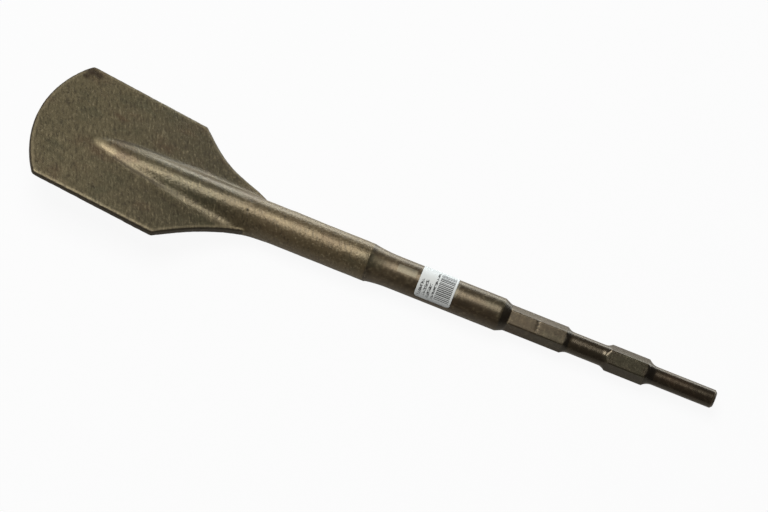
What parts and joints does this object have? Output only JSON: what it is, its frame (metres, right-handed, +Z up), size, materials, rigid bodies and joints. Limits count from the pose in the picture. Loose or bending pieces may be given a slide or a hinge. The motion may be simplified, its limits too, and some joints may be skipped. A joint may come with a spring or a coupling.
{
  "type": "spade chisel",
  "caption": "Forged steel spade chisel for a breaker hammer: round tail, hexagonal drive with a turned neck, round bar run out as a rib into a wide flat blade with a rounded edge.",
  "frame": {"origin": "on the floor under the middle of the lying chisel's box", "axes": "+X along the bar towards the end of the tail, +Y towards the side of the blade that touches the floor, +Z up"},
  "size_m": [0.5776, 0.1222, 0.0526],
  "materials": {
    "forged_steel": "raw forged steel with a brown oxide skin, hammered on the blade and turned on the shank",
    "label_paper": "matt white paper"
  },
  "bodies": {
    "root": {"chisel": "forged_steel", "paper_label": "label_paper"}
  },
  "joints": []
}
